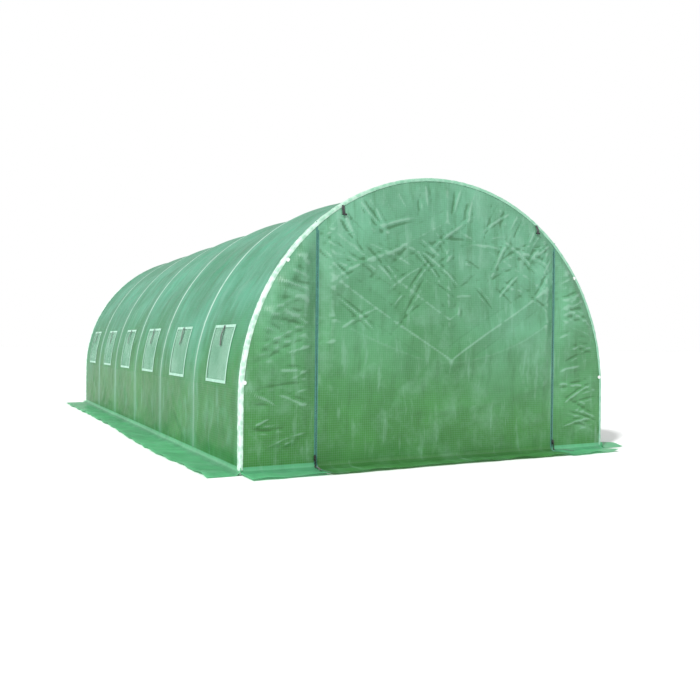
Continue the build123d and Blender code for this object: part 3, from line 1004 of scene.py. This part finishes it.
wall_points, wall_uv = curtain_points(spread([WALL_FOOT, middles[-1]], 0.012)[::-1])
out = np.concatenate([np.linspace(0, 0.1, 7)[1:], np.linspace(0.1, 1, 13)[1:]])
along_grid, out_grid = np.meshgrid(door_lines, out, indexing="xy")
reach = wandering(64, 0.205, 0.040)(along_grid)
distance, height = skirt_profile(reach, along_grid, out_grid)
foot = end_relief(along_grid, np.full_like(along_grid, WALL_FOOT), FRONT_SEED)
skirt_points = np.stack([along_grid, -(-FRONT + foot + distance), height + 0.003], -1)
points = np.concatenate([wall_points, skirt_points])
uv = np.concatenate([wall_uv, np.stack([along_grid, -out_grid * reach], -1)])
curtain_piece(f"door_curtain_{STRIPS + 1}", points, uv, (f"door_strip_{STRIPS}",), None, None,
              [f"door_strip_{STRIPS}"], 2 * DOOR_HALF, middles[-1] + 0.2)

# %% [markdown]
# ## Above the door
# The film over the door is fixed all round. Its lower edge is the line the door
# rolls up to.

# %% Lunette
reach_x = math.sqrt(FILM_R ** 2 - (hinges[0] - LEG) ** 2)
x = spread([-reach_x, 0, reach_x], 0.012)
lunette = end_sheet("lunette_film", x, np.full_like(x, hinges[0]),
                    np.maximum(arch_top(x), hinges[0]), 40, -1, FRONT_SEED)
settle(lunette, "root", end_film, 2 * reach_x, LEG + FILM_R - hinges[0],
       ["front_lunette"])

# %% [markdown]
# ## Zips
# Each zip has a fixed tape on the film beside the door, with a row of moulded
# teeth along its edge. The other tape is the edge of the curtain. A webbing pull
# hangs from the slider and lies out over the skirt.

# %% Zips
TOOTH_PITCH = 0.005
TOOTH = (0.0026, 0.0020, 0.0030)


def teeth(name, x, low, high):
    """A row of small rounded teeth up one line."""
    bpy.ops.object.select_all(action="DESELECT")
    bpy.ops.mesh.primitive_cube_add(size=1, location=(0, 0, 0))
    tooth = bpy.context.object
    tooth.name = name
    tooth.dimensions = TOOTH
    bpy.ops.object.transform_apply(location=False, rotation=False, scale=True)
    bevel = tooth.modifiers.new("round", "BEVEL")
    bevel.width, bevel.segments = 0.0006, 1
    row = tooth.modifiers.new("row", "ARRAY")
    row.use_relative_offset, row.use_constant_offset = False, True
    row.constant_offset_displace = (0, 0, TOOTH_PITCH)
    row.count = int((high - low) / TOOTH_PITCH)
    for modifier in ("round", "row"):
        bpy.ops.object.modifier_apply(modifier=modifier)
    tooth.data.transform(Matrix.Translation((x, FRONT - 0.0022, low)))
    tooth.data.materials.append(slider_enamel)
    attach(tooth, "root")
    return tooth


for word, side in SIDES.items():
    x = side * spread([ZIP_LINE - 0.001, ZIP_LINE + 0.011], 0.004)
    x.sort()
    heights = spread([0.02, 1.5, 1.585], 0.012)
    x_grid, z_grid = np.meshgrid(x, heights, indexing="xy")
    points, uv = end_points(x_grid, z_grid, -1, FRONT_SEED)
    points[..., 1] -= 0.0016
    uv[..., 0] -= side * (ZIP_LINE + 0.005)
    tape = make_sheet(f"zip_tape_{word}", points, uv, (0, -1, 0))
    settle(tape, "root", zip_tape, 0.012, 1.565, ["zip_tapes"])
    teeth(f"zip_teeth_{word}", side * (ZIP_LINE - 0.0012), 0.025, 1.52)
    slider_low, slider_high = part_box(f"zip_slider_{word}")
    middle_x = (slider_low.x + slider_high.x) / 2
    front_y = slider_low.y - 0.002
    line = [(middle_x, front_y, 0.030), (middle_x + side * 0.002, front_y - 0.004, 0.018),
            (middle_x + side * 0.006, front_y - 0.018, 0.0245),
            (middle_x + side * 0.010, front_y - 0.05, 0.030),
            (middle_x + side * 0.022, front_y - 0.09, 0.031),
            (middle_x + side * 0.030, front_y - 0.13, 0.030),
            (middle_x + side * 0.045, front_y - 0.165, 0.028)]
    ribbon(f"zip_pull_{word}", line, (1, 0.1 * side, 0), 0.012, 0.0014,
           f"zip_slider_{word}", black_webbing)

# %% [markdown]
# ## Hems over the end hoops
# At each end the cover is folded back and sewn, and the end film is caught in the
# fold. The hem is a narrow strip that wraps the corner. It is crinkled all
# along by the stitching, and its tape is painted as a pale line: painted
# highlights on the crinkles, brighter on the sunlit left side.

# %% Hems
HEM_SECTION = ((0.046, 0.0010), (0.040, 0.0034), (0.022, 0.0042), (0.006, 0.0042),
               (0.0, 0.0036), (-0.0032, 0.0010), (-0.0042, -0.006), (-0.0036, -0.017),
               (-0.0022, -0.019))


def hem(word, facing, over):
    girth = spread([-HALF_GIRTH + 0.004, 0, HALF_GIRTH - 0.004], 0.010)
    x, z, out_x, out_z = arch(HALF_GIRTH - np.abs(girth))
    side = np.where(girth < 0, -1, 1)
    rows, steps, walked = [], [], 0.0
    for number, (back, lift) in enumerate(HEM_SECTION):
        pucker = crease(girth * 22, girth * 0 + number * 0.35, 400 + facing, 2) * 0.0016
        lean = crease(girth * 9, girth * 0 + number * 0.2, 410 + facing, 2) * 0.002
        rise = lift + pucker * (0 < number < len(HEM_SECTION) - 1)
        y = facing * (END - 0.0015 - back) + 0 * girth + facing * np.abs(lean) * (back < 0)
        rows.append(np.stack([side * (x + rise * out_x), y, z + rise * out_z], -1))
        if number:
            before = HEM_SECTION[number - 1]
            walked += math.hypot(back - before[0], lift - before[1])
        steps.append(walked)
    points = np.stack(rows)
    along, across = np.meshgrid(girth, steps, indexing="xy")
    outward = np.stack([side * out_x, 0 * x + facing * 0.5, out_z], -1)
    piece = make_sheet(f"hem_film_{word}", points, np.stack([across, along], -1), outward)
    return settle(piece, "root", hem_tape, walked, 2 * HALF_GIRTH, over)


hem("front", -1, ["end_hem_front"])
hem("rear", 1, ["end_hem_rear"])

# %% [markdown]
# ## Door ties
# A rolled door is held by a webbing loop and a toggle on each side. At rest they
# hang from the hem. The toggle is a turned cylinder with a groove at its waist.

# %% Door ties
def toggle(name, middle):
    """Round toggle: a cylinder, pinched at its waist, with soft ends."""
    bpy.ops.object.select_all(action="DESELECT")
    bpy.ops.mesh.primitive_cylinder_add(vertices=24, radius=0.006, depth=0.034)
    piece = bpy.context.object
    piece.name = name
    bpy.ops.object.mode_set(mode="EDIT")
    for place in (-0.004, 0.004, 0):
        bpy.ops.mesh.select_all(action="SELECT")
        bpy.ops.mesh.bisect(plane_co=(0, 0, place), plane_no=(0, 0, 1))
    bpy.ops.object.mode_set(mode="OBJECT")
    for vertex in piece.data.vertices:
        if abs(vertex.co.z) < 0.001:
            vertex.co.x *= 0.62
            vertex.co.y *= 0.62
    bevel = piece.modifiers.new("soft", "BEVEL")
    bevel.width, bevel.segments = 0.0012, 3
    bevel.limit_method = "ANGLE"
    bpy.ops.object.modifier_apply(modifier="soft")
    bpy.ops.object.shade_smooth_by_angle(angle=math.radians(35))
    turn = Matrix.Translation(middle) @ Matrix.Rotation(math.pi / 2, 4, "Y")
    piece.data.transform(turn)
    piece.data.materials.append(joint_plastic)
    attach(piece, "root")
    return piece


TIE_X, TIE_TOP, TIE_DROP = 0.81, 1.704, 0.062
for word, side in SIDES.items():
    x = side * TIE_X
    drop = np.linspace(0, TIE_DROP, 12)
    bow = 0.004 * np.sin(drop / TIE_DROP * math.pi)
    around, below = np.meshgrid(x + np.linspace(-0.018, 0.018, 9), TIE_TOP - drop)
    film_front = np.maximum.accumulate(end_relief(around, below, FRONT_SEED).max(axis=1))
    line = np.stack([x + side * bow, FRONT - film_front - 0.004 - bow * 1.2,
                     TIE_TOP - drop], -1)
    ribbon(f"door_tie_{word}", line, (1, 0, 0), 0.02, 0.0016, "root", black_webbing,
           ["door_ties"])
    toggle(f"door_toggle_{word}", (x, FRONT - film_front[-1] - 0.0105,
                                     TIE_TOP - TIE_DROP))

# %% [markdown]
# ## Floor, light and camera
# The tunnel stands on a plain pale floor in soft light from a wide sky, with one
# larger, low sun that picks out the creases. The camera stands low at the
# corner, a little below eye level.

# %% Floor, light and camera
bpy.ops.object.select_all(action="DESELECT")
bpy.ops.mesh.primitive_plane_add(size=160, location=(0, 0, -0.0005))
floor = bpy.context.object
floor.name = "floor"
floor_finish = Finish("floor_pale")
floor.data.materials.append(floor_finish.surface(floor_finish.node(
    "ShaderNodeBsdfPrincipled", inputs={"Base Color": colour(0.93, 0.93, 0.93),
                                        "Roughness": 0.9})))

world = bpy.data.worlds.new("studio")
bpy.context.scene.world = world
world.use_nodes = True
studio = world.node_tree
sky = studio.nodes["Background"]
seen = studio.nodes.new("ShaderNodeBackground")
for light in (sky, seen):
    light.inputs["Color"].default_value = (1, 1, 1, 1)
sky.inputs["Strength"].default_value = 0.75
ray = studio.nodes.new("ShaderNodeLightPath")
choice = studio.nodes.new("ShaderNodeMixShader")
for number, output in enumerate((ray.outputs["Is Camera Ray"], sky.outputs[0],
                                 seen.outputs[0])):
    studio.links.new(output, choice.inputs[number])
studio.links.new(choice.outputs[0], studio.nodes["World Output"].inputs[0])
bpy.context.scene.view_settings.view_transform = "Standard"

sun_data = bpy.data.lights.new("sun", "SUN")
sun_data.energy = 3.0
sun_data.angle = math.radians(5)
sun = add_piece("sun", sun_data)
sun.rotation_euler = (math.radians(50), 0, math.radians(-58))

CAMERA_PLACE = (-3.0447, -7.3674, 0.8053)
CAMERA_YAW, CAMERA_PITCH, CAMERA_ROLL = map(math.radians, (27.73, -0.455, 0.572))
camera_data = bpy.data.cameras.new("camera")
camera_data.lens = 38.89
camera_data.sensor_width = 36.0
camera_data.clip_end = 400
camera = add_piece("camera", camera_data)
ahead = Vector((math.sin(CAMERA_YAW) * math.cos(CAMERA_PITCH),
                math.cos(CAMERA_YAW) * math.cos(CAMERA_PITCH), math.sin(CAMERA_PITCH)))
level = Vector((math.cos(CAMERA_YAW), -math.sin(CAMERA_YAW), 0))
upward = level.cross(ahead)
right = math.cos(CAMERA_ROLL) * level + math.sin(CAMERA_ROLL) * upward
head_up = right.cross(ahead)
turned = Matrix((right, head_up, -ahead)).transposed()
camera.matrix_world = Matrix.Translation(CAMERA_PLACE) @ turned.to_4x4()
bpy.context.scene.camera = camera
